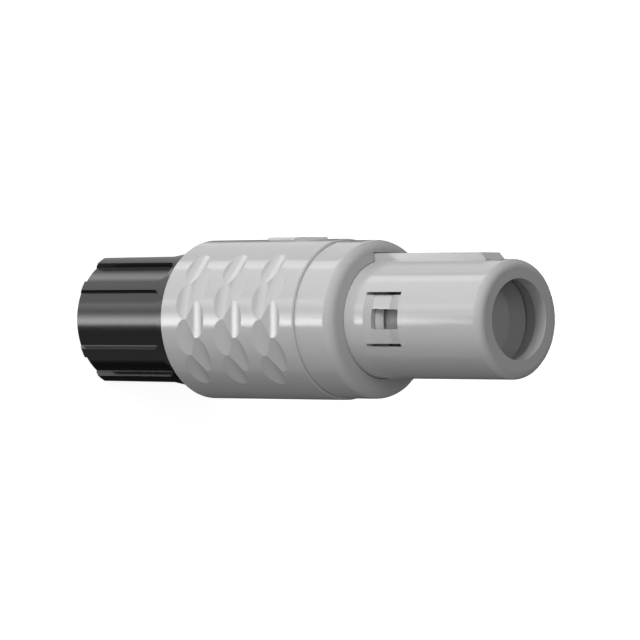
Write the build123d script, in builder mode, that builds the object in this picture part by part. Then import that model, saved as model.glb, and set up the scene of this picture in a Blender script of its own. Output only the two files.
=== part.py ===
from build123d import *
from math import cos, radians, sin, sqrt
import os

# Push-pull circular connector plug, moulded in plastic, in millimetres.
# The rear face of the back nut lies on z = 0 and the nose points along +Z.
# The key stands on +X and the two latches look along +Y and -Y.

# Fits between the pieces
slide_gap = 0.05
running_gap = 0.10
press_gap = 0.01
seat_gap = 0.02
grip_over_nut = 0.22
stop_gap = 0.05

# Nose tube with its key and mouth
nose_radius = 5.0
nose_wall = 0.8
tip_fillet = 0.7
mouth_wall = 1.6
mouth_land = 1.17
mouth_taper = 1.28
lip_wall = 1.2
key_half_width = 1.2
key_height = 0.57
key_front_gap = 2.62
key_ramp = 0.61
key_clearance = 0.08

# Latch windows
latch_from_grip = 2.15
latch_length = 3.9
latch_slot_width = 0.24
latch_half_width = 2.16
latch_depth = 0.38
latch_rear_ramp = 0.66
latch_floor_length = 1.95
window_rear = 0.62
window_length = 3.3
window_rear_half_width = 0.88
window_front_half_width = 0.8
window_corner = 0.15

# Lock sleeve that holds the latches out, and its two link pins
lock_wall = 0.4
lock_reach = 1.3
lock_chamfer_length = 0.62
lock_chamfer_depth = 0.3
pull_travel = 1.5
pin_radius = 0.5
pin_from_lock_rear = 1.4
pin_slot_gap = 0.05

# Rear body, which screws into the back nut and carries the nose tube
thread_radius = 4.45
thread_length = 6.0
thread_start_gap = 0.1
body_bore = 3.6
body_shoulder_length = 2.85
guide_collar_length = 1.45
spigot_length = 3.3
edge_chamfer = 0.25

# Insulators and contacts
rear_flange_length = 3.5
rear_spigot_length = 1.5
latch_relief_depth = 0.12
latch_relief_ahead = 0.3
cup_from_latch = 1.0
cup_length = 5.65
cup_floor_depth = 1.65
cup_rim_gap = 0.3
cup_rim_width = 0.2
cup_mouth_wall = 0.45
cup_floor_wall = 0.8
contact_count = 5
contact_circle = 1.15
contact_radius = 0.42
contact_hole_gap = 0.03
contact_collar_radius = 0.6
contact_collar_length = 1.1
contact_entry_radius = 0.3
contact_entry_depth = 0.3
contact_tail = 3.5
socket_bore_radius = 0.25
socket_bore_depth = 5.0
socket_slot_width = 0.12
solder_bore_radius = 0.28
solder_bore_depth = 2.2

# Back nut
nut_lip_length = 1.2
entry_radius = 2.75
nut_cone_length = 4.4
nut_land_length = 3.2
nut_radius = 5.98
nut_rear_chamfer = 0.36
panel_depth = 0.42
panel_half_angle = 25.5
flute_depth = 0.49
flute_half_angle = 10.7
flute_front = 10.15
flute_corner = 0.85
flat_depth = 0.55
flat_corner = 2.1

# Cable collet, thrust washer and the two carrier halves
collet_land_radius = 4.0
collet_bore = 2.3
collet_tooth_depth = 0.15
collet_tooth_pitch = 0.9
collet_tooth_count = 4
collet_ring_length = 2.0
collet_slot_width = 0.5
collet_slot_count = 4
washer_thickness = 0.7
washer_bore = 2.35
carrier_wall = 0.55
carrier_split = 0.05

# Grip: sleeve, front ring, retaining ring and return spring
grip_overlap = 3.2
grip_wall = 0.67
grip_edge_chamfer = 0.12
front_ring_wall = 0.785
neck_length = 3.5
spring_seat_thickness = 0.4
front_web = 0.65
front_ring_step = 0.135
front_ring_groove_depth = 0.07
front_ring_groove_width = 0.25
front_ring_round = 0.82
front_face_fall = 0.07
ring_thickness = 0.6
ring_groove_depth = 0.25
ring_radial_width = 1.1
ring_bore_gap = 0.15
ring_split = 1.2
spring_wire = 0.5
spring_turns = 5

# Scalloped finger patches, one on each latch side
dimple_depth = 0.185
dimple_curve = 3.21
dimple_pitch = 4.5
dimple_columns = 3
dimple_step = 26.6
dimple_stagger = 1.23
first_dimple = 2.94

# Raised arrow on the key side of the grip
arrow_start = 6.8
arrow_length = 6.6
arrow_head_length = 2.6
arrow_half_width = 1.35
arrow_shaft_half_width = 0.5
arrow_height = 0.18

# Radii that follow from the fits
nose_bore = nose_radius - nose_wall
mouth_radius = nose_radius - mouth_wall
lip_radius = nose_radius - lip_wall
cup_mouth_radius = nose_bore - cup_mouth_wall
cup_floor_radius = nose_bore - cup_floor_wall
lock_radius = nose_bore - slide_gap
lock_bore = lock_radius - lock_wall
insulator_radius = lock_bore - running_gap
latch_relief_radius = insulator_radius - latch_relief_depth
cup_radius = nose_bore - seat_gap
spigot_radius = nose_bore - seat_gap
nut_thread_radius = thread_radius + slide_gap
flat_cut_width = 2.05 * sqrt(flat_depth * (2 * nut_radius - flat_depth))
carrier_radius = body_bore - slide_gap
grip_bore = nut_radius + grip_over_nut
grip_radius = grip_bore + grip_wall
front_ring_radius = grip_radius - front_ring_step
neck_radius = front_ring_radius - front_ring_wall
guide_collar_radius = grip_bore - 0.8 * running_gap
neck_bore = nose_radius + slide_gap
key_top = nose_radius + key_height
ring_groove_radius = grip_bore + ring_groove_depth
ring_bore = ring_groove_radius - ring_radial_width
body_shoulder_radius = ring_bore - ring_bore_gap
spring_radius = (nose_radius + grip_bore) / 2
contact_hole_radius = contact_radius + contact_hole_gap

# Stations along the axis, from the rear face of the nut to the nose
cone_rear = nut_lip_length
cone_front = cone_rear + nut_cone_length
nut_thread_rear = cone_front + nut_land_length
nut_front = nut_thread_rear + thread_length
body_rear = nut_thread_rear + thread_start_gap
body_shoulder = body_rear + thread_length
collar_rear = body_shoulder + body_shoulder_length
collar_front = collar_rear + guide_collar_length
body_front = collar_front + spigot_length
insulator_rear = body_front + rear_flange_length
lock_rear = insulator_rear + pull_travel + running_gap
pin_station = lock_rear + pin_from_lock_rear
spring_seat = pin_station - pin_radius - pull_travel
neck_rear = spring_seat + spring_seat_thickness
neck_front = neck_rear + neck_length
grip_front = neck_front + front_web
latch_rear = grip_front + latch_from_grip
latch_front = latch_rear + latch_length
lock_front = latch_rear + lock_reach
cup_rear = latch_front + cup_from_latch
lip_station = cup_rear + cup_length
cup_floor = lip_station - cup_floor_depth
mouth_rear = lip_station + mouth_taper
nose_front = mouth_rear + mouth_land
carrier_front = body_front - rear_spigot_length
carrier_rear = body_rear + 0.3
washer_rear = carrier_rear - washer_thickness
collet_front = washer_rear - slide_gap
grip_rear = nut_front - grip_overlap
ring_front = collar_rear - stop_gap

os.makedirs("parts", exist_ok=True)

# Latch recess, cut between the two slots of each latch: a ramp down, a floor and a gentle ramp up
recess_floor = nose_radius - latch_depth
with BuildPart() as latch_recess:
    with BuildSketch(Plane.XZ):
        with BuildLine():
            Polyline(
                (nose_radius + latch_depth, latch_rear - latch_rear_ramp),
                (recess_floor, latch_rear + latch_rear_ramp),
                (recess_floor, latch_rear + latch_rear_ramp + latch_floor_length),
                (nose_radius, latch_front),
                (nose_radius + latch_depth, latch_front),
                close=True,
            )
        make_face()
    revolve(axis=Axis.Z)
    with BuildSketch(Plane.XZ):
        with Locations((0, latch_rear + latch_length / 2)):
            Rectangle(2 * latch_half_width - latch_slot_width, 2 * latch_length)
    extrude(amount=2 * nose_radius, both=True, mode=Mode.INTERSECT)

# Nose tube: one moulding with the key, the mouth, the two latches and the slots of the link pins
with BuildPart() as nose_shell:
    with BuildSketch(Plane.XZ):
        with BuildLine():
            Polyline(
                (nose_bore, collar_front),
                (nose_radius, collar_front),
                (nose_radius, nose_front),
                (mouth_radius, nose_front),
                (mouth_radius, mouth_rear),
                (lip_radius, lip_station),
                (nose_bore, lip_station),
                close=True,
            )
        make_face()
    revolve(axis=Axis.Z)
    tip_edge = nose_shell.edges().group_by(Axis.Z)[-1].sort_by(SortBy.LENGTH)[-1]
    fillet(tip_edge, tip_fillet)
    key_front = nose_front - key_front_gap
    key_foot = nose_radius - nose_wall / 2
    with BuildSketch(Plane.XZ):
        with BuildLine():
            Polyline(
                (key_foot, neck_rear + pin_radius),
                (key_top, neck_rear + pin_radius),
                (key_top, key_front - key_ramp),
                (nose_radius, key_front),
                (key_foot, key_front),
                close=True,
            )
        make_face()
    extrude(amount=key_half_width, both=True)
    add(latch_recess.part, mode=Mode.SUBTRACT)
    with BuildSketch(Plane.XZ) as latch_cuts:
        with Locations(
            (-latch_half_width, latch_rear + latch_length / 2),
            (latch_half_width, latch_rear + latch_length / 2),
        ):
            Rectangle(latch_slot_width, latch_length)
        with Locations((0, pin_station - pull_travel / 2)):
            SlotCenterToCenter(pull_travel, 2 * (pin_radius + pin_slot_gap), rotation=90)
    extrude(amount=2 * nose_radius, both=True, mode=Mode.SUBTRACT)
    window_start = latch_rear + window_rear
    with BuildSketch(Plane.XZ) as latch_window:
        with BuildLine():
            Polyline(
                (-window_rear_half_width, window_start),
                (window_rear_half_width, window_start),
                (window_front_half_width, window_start + window_length),
                (-window_front_half_width, window_start + window_length),
                close=True,
            )
        make_face()
        fillet(latch_window.vertices(), window_corner)
    extrude(amount=2 * nose_radius, both=True, mode=Mode.SUBTRACT)

# Rear body: thread for the nut, shoulder, guide collar for the grip and spigot for the nose tube
with BuildPart() as rear_body:
    with BuildSketch(Plane.XZ):
        with BuildLine():
            Polyline(
                (body_bore, body_rear),
                (thread_radius - edge_chamfer, body_rear),
                (thread_radius, body_rear + edge_chamfer),
                (thread_radius, body_shoulder),
                (body_shoulder_radius, body_shoulder),
                (body_shoulder_radius, collar_rear),
                (guide_collar_radius, collar_rear),
                (guide_collar_radius, collar_front),
                (spigot_radius, collar_front),
                (spigot_radius, body_front),
                (body_bore, body_front),
                close=True,
            )
        make_face()
    revolve(axis=Axis.Z)

# Front insulator: the cup seen in the mouth, with one hole for each socket contact
contact_angles = [360 / contact_count * index for index in range(contact_count)]
contact_places = [
    (contact_circle * cos(radians(angle)), contact_circle * sin(radians(angle)))
    for angle in contact_angles
]
rim_station = lip_station - cup_rim_gap
with BuildPart() as insulator:
    with BuildSketch(Plane.XZ):
        with BuildLine():
            Polyline(
                (0, insulator_rear),
                (insulator_radius, insulator_rear),
                (insulator_radius, lock_front - latch_relief_ahead),
                (latch_relief_radius, lock_front - latch_relief_ahead),
                (latch_relief_radius, latch_front + latch_relief_ahead),
                (insulator_radius, latch_front + latch_relief_ahead),
                (insulator_radius, cup_rear),
                (cup_radius, cup_rear),
                (cup_radius, lip_station),
                (cup_radius - cup_rim_width, lip_station),
                (cup_radius - cup_rim_width, rim_station),
                (cup_mouth_radius, rim_station),
                (cup_floor_radius, cup_floor),
                (0, cup_floor),
                close=True,
            )
        make_face()
    revolve(axis=Axis.Z)
    with BuildSketch(Plane.XY.offset(insulator_rear)):
        with Locations(*contact_places):
            Circle(contact_hole_radius)
    extrude(amount=cup_floor - contact_entry_depth - insulator_rear, mode=Mode.SUBTRACT)
    with BuildSketch(Plane.XY.offset(cup_floor)):
        with Locations(*contact_places):
            Circle(contact_entry_radius)
    extrude(amount=-2 * contact_entry_depth, mode=Mode.SUBTRACT)
    entry_edges = insulator.edges().filter_by(GeomType.CIRCLE).filter_by(
        lambda edge: edge.radius < contact_radius and edge.center().Z > cup_floor - press_gap
    )
    chamfer(entry_edges, contact_entry_depth / 3)

# Rear insulator: traps the collars of the contacts behind the front insulator
with BuildPart() as rear_insulator:
    with BuildSketch(Plane.XY.offset(carrier_front)):
        Circle(carrier_radius)
    extrude(amount=rear_spigot_length)
    with BuildSketch(Plane.XY.offset(body_front)):
        Circle(cup_radius)
    extrude(amount=rear_flange_length)
    with BuildSketch(Plane.XY.offset(carrier_front)):
        with Locations(*contact_places):
            Circle(contact_hole_radius)
    extrude(amount=rear_spigot_length + rear_flange_length, mode=Mode.SUBTRACT)
    with BuildSketch(Plane.XY.offset(insulator_rear)):
        with Locations(*contact_places):
            Circle(contact_collar_radius + seat_gap)
    extrude(amount=-contact_collar_length, mode=Mode.SUBTRACT)

# Carrier halves: the split tube between the thrust washer and the rear insulator
for side, carrier_name in ((1, "carrier_half_upper"), (-1, "carrier_half_lower")):
    with BuildPart() as carrier_half:
        with BuildSketch(Plane.XY.offset(carrier_rear)):
            Circle(carrier_radius)
            Circle(carrier_radius - carrier_wall, mode=Mode.SUBTRACT)
            with Locations((side * (carrier_split + carrier_radius), 0)):
                Rectangle(2 * carrier_radius, 2 * carrier_radius, mode=Mode.INTERSECT)
        extrude(amount=carrier_front - carrier_rear)
    carrier_half.part.label = carrier_name
    export_step(carrier_half.part, f"parts/{carrier_name}.step")

# Thrust washer between the collet and the carrier halves
with BuildPart() as thrust_washer:
    with BuildSketch(Plane.XY.offset(washer_rear)):
        Circle(carrier_radius)
        Circle(washer_bore, mode=Mode.SUBTRACT)
    extrude(amount=washer_thickness)

# Socket contacts: slotted socket in front, collar, and a solder cup open to the outside at the rear
collar_station = insulator_rear - contact_collar_length
contact_front = cup_floor - contact_entry_depth
contact_rear = carrier_front - contact_tail
for number, (angle, place) in enumerate(zip(contact_angles, contact_places), start=1):
    with BuildPart() as contact:
        with BuildSketch(Plane.XY.offset(contact_rear)):
            with Locations(place):
                Circle(contact_radius)
        extrude(amount=contact_front - contact_rear)
        with BuildSketch(Plane.XY.offset(collar_station)):
            with Locations(place):
                Circle(contact_collar_radius)
        extrude(amount=contact_collar_length)
        with BuildSketch(Plane.XY.offset(contact_front)):
            with Locations(place):
                Circle(socket_bore_radius)
        extrude(amount=-socket_bore_depth, mode=Mode.SUBTRACT)
        with BuildSketch(Plane.XY.offset(contact_front)):
            with Locations(Location((*place, 0), (0, 0, angle))):
                Rectangle(socket_slot_width, 4 * contact_radius)
        extrude(amount=-0.8 * socket_bore_depth, mode=Mode.SUBTRACT)
        with BuildSketch(Plane.XY.offset(contact_rear)):
            with Locations(place):
                Circle(solder_bore_radius)
        extrude(amount=solder_bore_depth, mode=Mode.SUBTRACT)
        with BuildSketch(Plane.XY.offset(contact_rear)):
            with Locations(Location((*place, 0), (0, 0, angle))):
                with Locations((contact_radius, 0)):
                    Rectangle(contact_radius, 2 * contact_radius)
        extrude(amount=0.8 * solder_bore_depth, mode=Mode.SUBTRACT)
    contact.part.label = f"contact_{number}"
    export_step(contact.part, f"parts/contact_{number}.step")

# Lock sleeve: slides with the grip and stands under the latches while the grip is forward
with BuildPart() as lock_sleeve:
    with BuildSketch(Plane.XZ):
        with BuildLine():
            Polyline(
                (lock_bore, lock_rear),
                (lock_radius, lock_rear),
                (lock_radius, lock_front - lock_chamfer_length),
                (lock_radius - lock_chamfer_depth, lock_front),
                (lock_bore, lock_front),
                close=True,
            )
        make_face()
    revolve(axis=Axis.Z)
    with BuildSketch(Plane.XZ):
        with Locations((0, pin_station)):
            Circle(pin_radius + press_gap)
    extrude(amount=2 * lock_radius, both=True, mode=Mode.SUBTRACT)

# Link pins: carry the pull of the grip through the slots of the nose tube to the lock sleeve
pin_inner = lock_bore + press_gap
pin_outer = neck_radius - slide_gap
for number, plane in enumerate((Plane.XZ.offset(pin_inner), Plane.XZ.offset(-pin_inner)), start=1):
    with BuildPart() as link_pin:
        with BuildSketch(plane):
            with Locations((0, pin_station)):
                Circle(pin_radius)
        extrude(amount=(pin_outer - pin_inner) * (1 if number == 1 else -1))
    link_pin.part.label = f"link_pin_{number}"
    export_step(link_pin.part, f"parts/link_pin_{number}.step")

# Return spring between the guide collar and the seat inside the grip, its wire drawn with eight flats
with BuildPart() as return_spring:
    spring_low = collar_front + spring_wire / 2 + seat_gap
    spring_high = spring_seat - spring_wire / 2 - seat_gap
    spring_rise = spring_high - spring_low
    with BuildLine(Plane.XY.offset(spring_low)) as coil:
        Helix(pitch=spring_rise / spring_turns, height=spring_rise, radius=spring_radius)
    with BuildSketch(Plane(coil.line @ 0, z_dir=coil.line % 0)):
        RegularPolygon(spring_wire / 2, 8)
    sweep(is_frenet=True)

# Raised arrow of the grip, pointing to the nose
with BuildPart() as arrow_pad:
    with BuildSketch(Plane.YZ.offset(grip_radius - grip_wall / 2)):
        with BuildLine():
            shaft_front = arrow_start + arrow_length - arrow_head_length
            Polyline(
                (-arrow_shaft_half_width, grip_rear + arrow_start),
                (arrow_shaft_half_width, grip_rear + arrow_start),
                (arrow_shaft_half_width, grip_rear + shaft_front),
                (arrow_half_width, grip_rear + shaft_front),
                (0, grip_rear + arrow_start + arrow_length),
                (-arrow_half_width, grip_rear + shaft_front),
                (-arrow_shaft_half_width, grip_rear + shaft_front),
                close=True,
            )
        make_face()
    extrude(amount=grip_wall)
    with BuildSketch(Plane.XY.offset(grip_rear)):
        Circle(grip_radius + arrow_height)
    extrude(amount=neck_rear - grip_rear, mode=Mode.INTERSECT)

# Scallop tool: a round bar laid across the grip, for one column of overlapping dimples
bar_distance = grip_radius - dimple_depth + dimple_curve
with BuildPart() as scallop_bar:
    with BuildSketch(Plane.XZ):
        with Locations((bar_distance, 0)):
            Circle(dimple_curve)
    extrude(amount=grip_radius / 2, both=True)

# Grip sleeve: scalloped barrel with the spring chamber inside and a neck for the front ring
with BuildPart() as grip_sleeve:
    with BuildSketch(Plane.XZ):
        with BuildLine():
            Polyline(
                (grip_bore, grip_rear),
                (grip_radius - grip_edge_chamfer, grip_rear),
                (grip_radius, grip_rear + grip_edge_chamfer),
                (grip_radius, neck_rear - grip_edge_chamfer),
                (grip_radius - grip_edge_chamfer, neck_rear),
                (neck_radius, neck_rear),
                (neck_radius, neck_front),
                (neck_bore, neck_front),
                (neck_bore, spring_seat),
                (grip_bore, spring_seat),
                (grip_bore, ring_front),
                (ring_groove_radius, ring_front),
                (ring_groove_radius, ring_front - ring_thickness),
                (grip_bore, ring_front - ring_thickness),
                close=True,
            )
        make_face()
    revolve(axis=Axis.Z)
    with BuildSketch(Plane.XZ):
        with Locations((0, pin_station)):
            Circle(pin_radius + press_gap)
    extrude(amount=2 * neck_radius, both=True, mode=Mode.SUBTRACT)
    with BuildSketch(Plane.XY.offset(spring_seat)):
        with Locations((key_top / 2, 0)):
            Rectangle(key_top + 2 * key_clearance, 2 * (key_half_width + key_clearance))
    extrude(amount=neck_front - spring_seat, mode=Mode.SUBTRACT)
    for column in range(dimple_columns):
        rear_row = grip_rear + first_dimple + column * dimple_pitch
        rear_angles = [dimple_step * (index - 1.5) for index in range(4)]
        front_angles = [dimple_step * (index - 1) for index in range(3)]
        for side_angle in (90, -90):
            for height, angles in ((rear_row, rear_angles), (rear_row + dimple_stagger, front_angles)):
                with Locations(*[Location((0, 0, height), (0, 0, side_angle + a)) for a in angles]):
                    add(scallop_bar.part, mode=Mode.SUBTRACT)
    add(arrow_pad.part)

# Front ring: closes the grip in front and lets the nose tube and its key pass
with BuildPart() as grip_front_ring:
    with BuildSketch(Plane.XZ):
        with BuildLine():
            Polyline(
                (neck_radius + press_gap, neck_rear),
                (front_ring_radius - front_ring_groove_depth, neck_rear),
                (front_ring_radius - front_ring_groove_depth, neck_rear + front_ring_groove_width),
                (front_ring_radius, neck_rear + front_ring_groove_width),
                (front_ring_radius, grip_front - front_face_fall),
                (neck_bore, grip_front),
                (neck_bore, neck_front),
                (neck_radius + press_gap, neck_front),
                close=True,
            )
        make_face()
    revolve(axis=Axis.Z)
    front_edge = grip_front_ring.edges().filter_by(GeomType.CIRCLE).sort_by(Axis.Z)[-2]
    fillet(front_edge, front_ring_round)
    with BuildSketch(Plane.XY.offset(neck_front)):
        with Locations((key_top / 2, 0)):
            Rectangle(key_top + 2 * key_clearance, 2 * (key_half_width + key_clearance))
    extrude(amount=2 * front_web, mode=Mode.SUBTRACT)

# Retaining ring: sprung into the groove of the grip, it stops against the guide collar
with BuildPart() as retaining_ring:
    with BuildSketch(Plane.XY.offset(ring_front - ring_thickness)):
        Circle(ring_groove_radius - seat_gap)
        Circle(ring_bore, mode=Mode.SUBTRACT)
        with Locations((-ring_groove_radius, 0)):
            Rectangle(2 * ring_groove_radius, ring_split, mode=Mode.SUBTRACT)
    extrude(amount=ring_thickness)

# Collet: clamps the cable, with slotted fingers, a cone outside and sharp rings inside
cone_slope = (collet_land_radius + running_gap - entry_radius) / nut_cone_length
collet_rear = cone_rear + running_gap
collet_tip_radius = collet_land_radius - cone_slope * (cone_front - collet_rear)
with BuildPart() as collet:
    with BuildSketch(Plane.XZ):
        with BuildLine():
            Polyline(
                (collet_bore, collet_rear),
                (collet_tip_radius, collet_rear),
                (collet_land_radius, cone_front),
                (collet_land_radius, collet_front),
                (collet_bore, collet_front),
                close=True,
            )
        make_face()
    revolve(axis=Axis.Z)
    for tooth in range(collet_tooth_count):
        tooth_rear = collet_rear + (tooth + 0.5) * collet_tooth_pitch
        with BuildSketch(Plane.XZ):
            with BuildLine():
                Polyline(
                    (collet_bore, tooth_rear),
                    (collet_bore, tooth_rear + collet_tooth_pitch / 2),
                    (collet_bore - collet_tooth_depth, tooth_rear),
                    close=True,
                )
            make_face()
        revolve(axis=Axis.Z)
    with BuildSketch(Plane.XY.offset(collet_rear)):
        with PolarLocations(collet_land_radius / 2, collet_slot_count):
            Rectangle(2 * collet_land_radius, collet_slot_width)
    extrude(amount=collet_front - collet_ring_length - collet_rear, mode=Mode.SUBTRACT)

# Flute cutters: wedges with rounded front corners, hollowed to the floor radius of panel or flute
flute_cutters = []
for half_angle, depth in ((panel_half_angle, panel_depth), (flute_half_angle, flute_depth)):
    wedge_half_width = 2 * nut_radius * sin(radians(half_angle))
    wedge_reach = 2 * nut_radius * cos(radians(half_angle))
    with BuildPart() as flute_cutter:
        with BuildSketch():
            with BuildLine():
                Polyline(
                    (0, 0),
                    (wedge_reach, -wedge_half_width),
                    (wedge_reach, wedge_half_width),
                    close=True,
                )
            make_face()
        extrude(amount=flute_front, both=True)
        Cylinder(nut_radius - depth, 3 * flute_front, mode=Mode.SUBTRACT)
        front_edges = flute_cutter.faces().sort_by(Axis.Z)[-1].edges().filter_by(GeomType.LINE)
        fillet(front_edges.sort_by(Axis.X)[:2], flute_corner)
    flute_cutters.append(flute_cutter.part)

# Flat cutter: a block with rounded front corners, for the two spanner flats
with BuildPart() as flat_cutter:
    with BuildSketch(Plane.YZ.offset(nut_radius - flat_depth)):
        RectangleRounded(flat_cut_width, 2 * flute_front, flat_corner)
    extrude(amount=nut_radius)

# Back nut: barrel with two wide panels, four flutes and two spanner flats, cone and thread bore inside
with BuildPart() as back_nut:
    with BuildSketch(Plane.XZ):
        with BuildLine():
            Polyline(
                (entry_radius, 0),
                (nut_radius - nut_rear_chamfer, 0),
                (nut_radius, nut_rear_chamfer),
                (nut_radius, nut_front),
                (nut_thread_radius, nut_front),
                (nut_thread_radius, nut_thread_rear),
                (collet_land_radius + running_gap, nut_thread_rear),
                (collet_land_radius + running_gap, cone_front),
                (entry_radius, cone_rear),
                close=True,
            )
        make_face()
    revolve(axis=Axis.Z)
    panel_cutter, flute_cutter = flute_cutters
    with PolarLocations(0, 2, start_angle=90):
        add(panel_cutter, mode=Mode.SUBTRACT)
    with PolarLocations(0, 4, start_angle=45):
        add(flute_cutter, mode=Mode.SUBTRACT)
    with PolarLocations(0, 2):
        add(flat_cutter.part, mode=Mode.SUBTRACT)

for piece, piece_name in (
    (nose_shell, "nose_shell"),
    (rear_body, "rear_body"),
    (insulator, "insulator"),
    (rear_insulator, "rear_insulator"),
    (thrust_washer, "thrust_washer"),
    (lock_sleeve, "lock_sleeve"),
    (return_spring, "return_spring"),
    (grip_sleeve, "grip_sleeve"),
    (grip_front_ring, "grip_front_ring"),
    (retaining_ring, "retaining_ring"),
    (collet, "collet"),
    (back_nut, "back_nut"),
):
    piece.part.label = piece_name
    export_step(piece.part, f"parts/{piece_name}.step")
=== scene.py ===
from math import cos, hypot, pi, radians, sin, tan

import bmesh
import bpy
from mathutils import Matrix, Vector


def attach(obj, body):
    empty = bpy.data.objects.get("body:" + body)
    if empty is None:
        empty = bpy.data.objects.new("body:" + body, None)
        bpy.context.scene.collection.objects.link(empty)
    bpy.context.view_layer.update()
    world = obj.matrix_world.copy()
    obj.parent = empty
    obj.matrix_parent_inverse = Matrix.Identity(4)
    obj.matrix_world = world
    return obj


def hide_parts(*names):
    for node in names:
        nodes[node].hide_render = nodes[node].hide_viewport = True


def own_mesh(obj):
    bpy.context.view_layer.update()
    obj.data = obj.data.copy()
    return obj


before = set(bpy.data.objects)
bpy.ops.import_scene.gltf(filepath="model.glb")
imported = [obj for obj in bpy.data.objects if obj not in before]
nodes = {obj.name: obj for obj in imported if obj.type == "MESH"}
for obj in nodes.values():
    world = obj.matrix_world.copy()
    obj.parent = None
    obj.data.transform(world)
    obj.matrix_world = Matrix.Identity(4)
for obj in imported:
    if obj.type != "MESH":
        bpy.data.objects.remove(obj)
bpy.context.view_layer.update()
MM = 0.001
scene = bpy.context.scene
scene.view_settings.view_transform = "Standard"


# Colours and shader nodes

def linear(hex_color):
    """A colour written as sRGB hex, as linear red, green, blue and alpha."""
    channels = [int(hex_color[i:i + 2], 16) / 255 for i in (1, 3, 5)]
    return [c / 12.92 if c <= 0.04045 else ((c + 0.055) / 1.055) ** 2.4 for c in channels] + [1.0]


def add_node(tree, kind, settings=None, links=None, **inputs):
    """Adds a shader node. Settings are its properties, inputs its socket values, links the outputs it takes."""
    node = tree.nodes.new(kind)
    for name, value in (settings or {}).items():
        setattr(node, name, value)
    for name, value in inputs.items():
        node.inputs[name.replace("_", " ")].default_value = value
    for socket, source in (links or {}).items():
        tree.links.new(source, node.inputs[socket])
    return node


def math_value(tree, operation, *values):
    """The output of a math node; each value is a number or the output of another node."""
    node = add_node(tree, "ShaderNodeMath", {"operation": operation})
    for socket, value in zip(node.inputs, values):
        if isinstance(value, float):
            socket.default_value = value
        else:
            tree.links.new(value, socket)
    return node.outputs[0]


def new_material(name):
    material = bpy.data.materials.new(name)
    material.use_nodes = True
    material.node_tree.nodes.clear()
    return material, material.node_tree


EDGE_ROUND_MM = 0.04
MOULDED_GLOSS_SPREAD = 0.1
DRAWN_GLOSS_SPREAD = 0.2
DRAWN_GRAIN_MM = 0.3


def noise(tree, place, size_mm, detail):
    return add_node(tree, "ShaderNodeTexNoise", links={"Vector": place}, Scale=1 / (size_mm * MM), Detail=detail)


def uneven_gloss(tree, grain, roughness, spread):
    """Roughness that follows the grain, up and down by a share of itself."""
    return add_node(tree, "ShaderNodeMapRange", links={"Value": grain.outputs["Fac"]},
                    To_Min=roughness * (1 - spread), To_Max=roughness * (1 + spread)).outputs["Result"]


def moulded_plastic(name, base, streak, roughness, specular, grain_mm, grain_depth_mm, flow_mm):
    """An injection-moulded plastic: fine spark-eroded grain in the gloss, and faint flow clouds in the colour."""
    material, tree = new_material(name)
    place = add_node(tree, "ShaderNodeTexCoord").outputs["Object"]
    flow = noise(tree, place, flow_mm, 2.0)
    tint = add_node(tree, "ShaderNodeMix", {"data_type": "RGBA"}, {"Factor": flow.outputs["Fac"]},
                    A=linear(base), B=linear(streak))
    grain = noise(tree, place, grain_mm, 4.0)
    edges = add_node(tree, "ShaderNodeBevel", {"samples": 6}, Radius=EDGE_ROUND_MM * MM)
    bump = add_node(
        tree, "ShaderNodeBump", links={"Height": grain.outputs["Fac"], "Normal": edges.outputs["Normal"]},
        Strength=1.0, Distance=grain_depth_mm * MM,
    )
    shader = add_node(
        tree, "ShaderNodeBsdfPrincipled",
        links={"Base Color": tint.outputs["Result"], "Normal": bump.outputs["Normal"],
               "Roughness": uneven_gloss(tree, grain, roughness, MOULDED_GLOSS_SPREAD)},
        IOR=1.5, Specular_IOR_Level=specular,
    )
    add_node(tree, "ShaderNodeOutputMaterial", links={"Surface": shader.outputs["BSDF"]})
    return material


def metal(name, color, roughness):
    """A drawn or plated metal, hidden inside the plug: one clean metallic finish with a fine drawn grain."""
    material, tree = new_material(name)
    place = add_node(tree, "ShaderNodeTexCoord").outputs["Object"]
    grain = noise(tree, place, DRAWN_GRAIN_MM, 3.0)
    shader = add_node(
        tree, "ShaderNodeBsdfPrincipled",
        links={"Roughness": uneven_gloss(tree, grain, roughness, DRAWN_GLOSS_SPREAD)},
        Base_Color=linear(color), Metallic=1.0,
    )
    add_node(tree, "ShaderNodeOutputMaterial", links={"Surface": shader.outputs["BSDF"]})
    return material


# Grey high-temperature polymer, moulded in a finely polished tool: satin, with a crisp but soft-edged highlight
grey_polymer = moulded_plastic("moulded_grey_polymer", "#B2B2B2", "#B6B6B6", 0.16, 0.5, 0.25, 0.0006, 9.0)
# Black polymer, moulded: nearly black body under a satin skin that catches long thin lights
black_polymer = moulded_plastic("moulded_black_polymer", "#0D0D0D", "#121212", 0.19, 0.37, 0.25, 0.0006, 9.0)
# Glass-filled black polymer of the inner clamp parts: duller than the nut
dull_polymer = moulded_plastic("glass_filled_black_polymer", "#1C1C1D", "#232324", 0.5, 0.4, 0.15, 0.002, 4.0)
# Grey insulator, moulded without polish: same grey, wider and weaker highlight
insulator_polymer = moulded_plastic("moulded_grey_insulator", "#A4A4A4", "#AAAAAA", 0.38, 0.4, 0.2, 0.001, 5.0)
# Gold plating over turned brass
gold_plate = metal("gold_plated_brass", "#E3BE6A", 0.22)
# Stainless spring steel, drawn or stamped
spring_steel = metal("drawn_stainless_steel", "#B9BABC", 0.3)

finishes = {
    "nose_shell": grey_polymer, "grip_sleeve": grey_polymer, "grip_front_ring": grey_polymer,
    "lock_sleeve": grey_polymer, "back_nut": black_polymer, "rear_body": dull_polymer,
    "collet": dull_polymer, "carrier_half_upper": dull_polymer, "carrier_half_lower": dull_polymer,
    "insulator": insulator_polymer, "rear_insulator": insulator_polymer,
}
for name, piece in nodes.items():
    finish = finishes.get(name, gold_plate if name.startswith("contact") else spring_steel)
    piece.data.materials.clear()
    piece.data.materials.append(finish)


# Pieces made of rings of points

SHARP_DEGREES = 25


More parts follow.
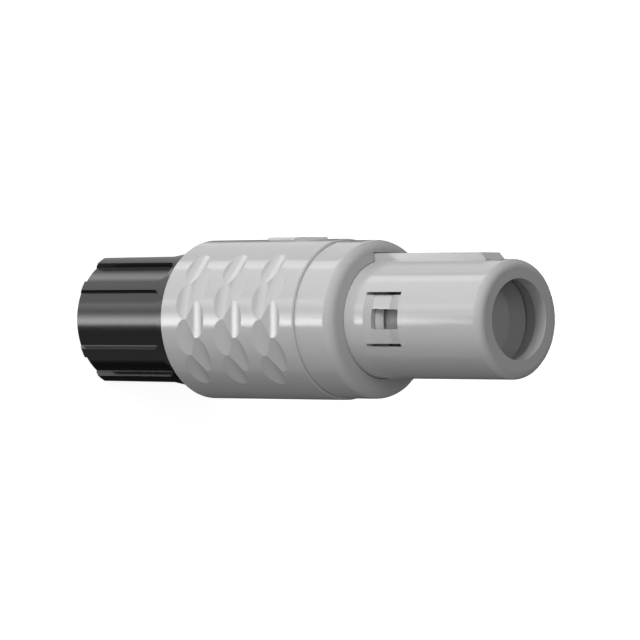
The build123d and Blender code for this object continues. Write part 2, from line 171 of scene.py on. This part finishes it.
def ringed_piece(name, rings_mm, looped):
    """Equal rings of points, joined by smooth bands. The last meets the first, or else flat ends close it."""
    mesh = bmesh.new()
    rings = [[mesh.verts.new(Vector(point) * MM) for point in ring] for ring in rings_mm]
    for ring, following in zip(rings, rings[1:] + rings[:looped]):
        for index in range(len(ring)):
            after = (index + 1) % len(ring)
            mesh.faces.new((ring[index], ring[after], following[after], following[index])).smooth = True
    if not looped:
        mesh.faces.new(rings[0])
        mesh.faces.new(rings[-1])
    mesh.normal_update()
    bmesh.ops.recalc_face_normals(mesh, faces=mesh.faces)
    for edge in mesh.edges:
        edge.smooth = edge.calc_face_angle() < radians(SHARP_DEGREES)
    data = bpy.data.meshes.new(name)
    mesh.to_mesh(data)
    piece = bpy.data.objects.new(name, data)
    scene.collection.objects.link(piece)
    return piece


# Clamp nut: the barrel of the CAD node, with the slightly sloping walls of the moulding at its sunk places.
# Its panels face the latches, its flats face the key and the side opposite, and the flutes lie between them.

NUT_RADIUS = 5.98
NUT_CHAMFER = 0.36
NUT_FRONT = 14.8
SLOT_FRONT = 10.15
PANEL = {"depth": 0.42, "half_width": 2.66, "corner": 0.85, "wall": 0.12}
FLUTE = {"depth": 0.49, "half_width": 1.12, "corner": 0.85, "wall": 0.06}
FLAT = {"depth": 0.55, "half_width": 2.57, "corner": 2.1, "wall": 0.05}
FLAT_REACH_COSINE = 0.8
NUT_SLOTS = [(0, PANEL), (180, PANEL), (45, FLUTE), (135, FLUTE), (225, FLUTE), (315, FLUTE)]
NUT_BORE = [(4.5, NUT_FRONT), (4.5, 8.8), (4.1, 8.8), (4.1, 5.6), (2.75, 1.2), (2.75, 0)]
NUT_COLUMNS = 720
# Rings stand close together on the chamfer and round the closed ends of the sunk places
CHAMFER_HEIGHTS = [0.06 * step for step in range(8)]
SLOT_END_HEIGHTS = [8.9 + 0.05 * step for step in range(29)]


def share_sunk(slot, across, along):
    """How much of a slot's depth is reached at a point: 0 outside it, 1 on its floor. The rear is open."""
    over, ahead = abs(across) - slot["half_width"] + slot["corner"], along - SLOT_FRONT + slot["corner"]
    inside = slot["corner"] - hypot(max(over, 0), max(ahead, 0)) - min(max(over, ahead), 0)
    return min(max(inside / slot["wall"], 0), 1)


def nut_skin(turn, along):
    """Radius of the nut's outside, at a turn from +Y and a height above the rear face, in mm."""
    sunk = max(NUT_CHAMFER - along, 0)
    for centre, slot in NUT_SLOTS:
        across = radians((turn - centre + 180) % 360 - 180) * NUT_RADIUS
        sunk = max(sunk, slot["depth"] * share_sunk(slot, across, along))
    from_flat = radians(turn % 180 - 90)
    if cos(from_flat) > FLAT_REACH_COSINE:
        cut = NUT_RADIUS - (NUT_RADIUS - FLAT["depth"]) / cos(from_flat)
        sunk = max(sunk, cut * share_sunk(FLAT, NUT_RADIUS * sin(from_flat), along))
    return NUT_RADIUS - sunk


def nut_rings():
    """Rings up the outside of the nut and back down its bore."""
    outside = [(None, height) for height in CHAMFER_HEIGHTS + SLOT_END_HEIGHTS + [NUT_FRONT]]
    for bore_radius, height in outside + NUT_BORE:
        ring = []
        for column in range(NUT_COLUMNS):
            turn = 360 * column / NUT_COLUMNS
            radius = bore_radius or nut_skin(turn, height)
            ring.append((radius * sin(radians(turn)), radius * cos(radians(turn)), height))
        yield ring


nut = ringed_piece("moulded_clamp_nut", nut_rings(), looped=True)
nut.data.materials.append(black_polymer)
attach(nut, "nut")
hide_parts("back_nut")


# Return spring: round wire, which the solid shows with eight flats. In use it shortens as the grip is pulled
# back; this piece is built at one length.

WIRE_RADIUS = 0.25
WIRE_SIDES = 16
COIL_RADIUS = 5.6
COIL_TURNS = 5
STEPS_PER_TURN = 60
COIL_STEPS = STEPS_PER_TURN * COIL_TURNS
COIL_REAR = 19.47
COIL_FRONT = 26.73


def spring_rings():
    """Rings round the wire, from the guide collar to the seat in the grip."""
    along = Vector((0, 0, 1))
    sides = [2 * pi * index / WIRE_SIDES for index in range(WIRE_SIDES)]
    for step in range(COIL_STEPS + 1):
        turn = 2 * pi * COIL_TURNS * step / COIL_STEPS
        outward = Vector((cos(turn), sin(turn), 0))
        centre = outward * COIL_RADIUS + along * (COIL_REAR + (COIL_FRONT - COIL_REAR) * step / COIL_STEPS)
        yield [centre + WIRE_RADIUS * (outward * cos(side) + along * sin(side)) for side in sides]


spring = ringed_piece("wire_return_spring", spring_rings(), looped=False)
spring.data.materials.append(spring_steel)
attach(spring, "shell")
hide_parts("return_spring")
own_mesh(spring)


# Camera: a long lens on the latch side, above the nose, turned so that the key is up in the picture

AIM = Vector((-0.055, 0, 24.1)) * MM
DISTANCE = 448.554 * MM
NOSE_SHARE = 0.6855
SIDE_SHARE = 0.7281
SENSOR_MM = 36
LENS_MM = 294.98
camera_data = bpy.data.cameras.new("camera")
camera_data.sensor_width = SENSOR_MM
camera_data.lens = LENS_MM
camera = bpy.data.objects.new("camera", camera_data)
scene.collection.objects.link(camera)
right = Vector((0, -NOSE_SHARE, SIDE_SHARE))
up = Vector((1, 0, 0))
back = Vector((0, SIDE_SHARE, NOSE_SHARE))
turned = Matrix((right, up, back)).transposed().to_4x4()
camera.matrix_world = Matrix.Translation(AIM + back.normalized() * DISTANCE) @ turned
scene.camera = camera


# Floor: pale, seen as white, and it keeps the shadow of the plug. The gloss looks through it to the lamps below.

FLOOR_HALF = 1.5
FLOOR_GLOW = 0.86
MIRRORED = 0.03
floor_mesh = bpy.data.meshes.new("floor")
floor_mesh.from_pydata(
    [(-FLOOR_HALF, -FLOOR_HALF, 0), (FLOOR_HALF, -FLOOR_HALF, 0), (FLOOR_HALF, FLOOR_HALF, 0),
     (-FLOOR_HALF, FLOOR_HALF, 0)], [], [(0, 1, 2, 3)])
floor = bpy.data.objects.new("floor", floor_mesh)
scene.collection.objects.link(floor)
floor.visible_glossy = False
material, tree = new_material("pale_table")
rays = add_node(tree, "ShaderNodeLightPath").outputs
mirror_share = math_value(tree, "MAXIMUM", rays["Is Glossy Ray"], rays["Is Transmission Ray"])
mirror_glow = math_value(tree, "MULTIPLY", mirror_share, MIRRORED)
glow_level = math_value(tree, "MULTIPLY_ADD", rays["Is Camera Ray"], FLOOR_GLOW, mirror_glow)
glow = add_node(tree, "ShaderNodeEmission", links={"Strength": glow_level})
pale = add_node(tree, "ShaderNodeBsdfDiffuse", Color=linear("#C8C8C8"))
both = add_node(tree, "ShaderNodeAddShader", links={0: pale.outputs["BSDF"], 1: glow.outputs["Emission"]})
add_node(tree, "ShaderNodeOutputMaterial", links={"Surface": both.outputs["Shader"]})
floor_mesh.materials.append(material)


# World: white to the camera, faint in the gloss so that dark walls stay dark, and a soft grey fill for the rest

FILL = 0.12
world = bpy.data.worlds.new("studio")
scene.world = world
world.use_nodes = True
tree = world.node_tree
tree.nodes.clear()
rays = add_node(tree, "ShaderNodeLightPath").outputs
seen = math_value(tree, "MAXIMUM", rays["Is Camera Ray"], rays["Is Transmission Ray"])
mirrored = math_value(tree, "MULTIPLY_ADD", rays["Is Glossy Ray"], MIRRORED, seen)
filled = math_value(tree, "MULTIPLY_ADD", rays["Is Diffuse Ray"], FILL, mirrored)
sky = add_node(tree, "ShaderNodeBackground", links={"Strength": filled}, Color=linear("#FFFFFF"))
add_node(tree, "ShaderNodeOutputWorld", links={"Surface": sky.outputs["Background"]})


# Lamps

def softbox(name, place_mm, target_mm, width_mm, height_mm, brightness, diffuse=True, gloss=True):
    """A rectangular soft lamp that looks at a point; brightness is the radiance of its face."""
    data = bpy.data.lights.new(name, "AREA")
    data.shape = "RECTANGLE"
    data.size = width_mm * MM
    data.size_y = height_mm * MM
    data.energy = brightness * pi * data.size * data.size_y
    lamp = bpy.data.objects.new(name, data)
    scene.collection.objects.link(lamp)
    place, target = Vector(place_mm) * MM, Vector(target_mm) * MM
    lamp.location = place
    lamp.rotation_euler = (place - target).to_track_quat("Z", "Y").to_euler()
    lamp.visible_camera = False
    lamp.visible_diffuse = diffuse
    lamp.visible_glossy = gloss


HEART = (0, 0, 24)
FAR = 520
NEAR = 200


def around(turn, rise, distance):
    """A place round the plug: turn from +Y toward +X, rise above level, distance in millimetres."""
    level = distance * cos(radians(rise))
    return (level * sin(radians(turn)), level * cos(radians(turn)), distance * sin(radians(rise)) + HEART[2])


# Close to level, so that the faces toward the nose stay darker; the last one lights those from above
softbox("key_softbox", around(47, 3, FAR), HEART, 360, 240, 11, gloss=False)
softbox("side_softbox", around(-36, 3, FAR), HEART, 240, 240, 3.9, gloss=False)
softbox("back_softbox", around(172, 4, FAR), HEART, 180, 180, 7.5, gloss=False)
softbox("nose_softbox", around(20, 60, FAR), HEART, 300, 300, 2.45, gloss=False)


def gloss_lamp(name, from_turn, to_turn, from_drop, to_drop, brightness, distance=FAR):
    """A lamp that only the gloss shows. It fills a window of turns and of drops below level, in degrees."""
    turn, drop = (from_turn + to_turn) / 2, (from_drop + to_drop) / 2
    width = 2 * distance * tan(radians((to_turn - from_turn) / 2)) * cos(radians(drop))
    height = 2 * distance * tan(radians((to_drop - from_drop) / 2))
    softbox(name, around(turn, -drop, distance), HEART, width, height, brightness, diffuse=False)


# The table is clear to the gloss, so the walls of the plug show long narrow lamps that hang below it
gloss_lamp("side_strip", -9, 1, 37.6, 53, 10, NEAR)
gloss_lamp("side_strip_low", -9, 1, 53, 61, 6, NEAR)
gloss_lamp("side_strip_lowest", -9, 1, 61, 69, 2.5, NEAR)
gloss_lamp("side_shoulder", 1, 7, 37.6, 53, 6, NEAR)
gloss_lamp("side_shoulder_low", 1, 7, 53, 63, 3, NEAR)
gloss_lamp("upper_fade", 7, 12, 25, 52, 2.4)
gloss_lamp("upper_dim", 12, 18, 25, 52, 1.6)
gloss_lamp("upper_edge", 18, 28, 25, 52, 2.8)
gloss_lamp("upper_glow", 28, 80, 25, 52, 2.1)
gloss_lamp("upper_glow_low", 18, 80, 52, 76, 2.0)
gloss_lamp("upper_strip", 80, 94, 25, 60, 3.1)
gloss_lamp("back_glow", 98, 150, 25, 65, 1.0)
gloss_lamp("back_strip", 172, 196, 6, 28, 4)
gloss_lamp("lower_glow", -78, -12, 25, 60, 0.32)
gloss_lamp("lower_far", -62, -38, 60, 80, 0.6)
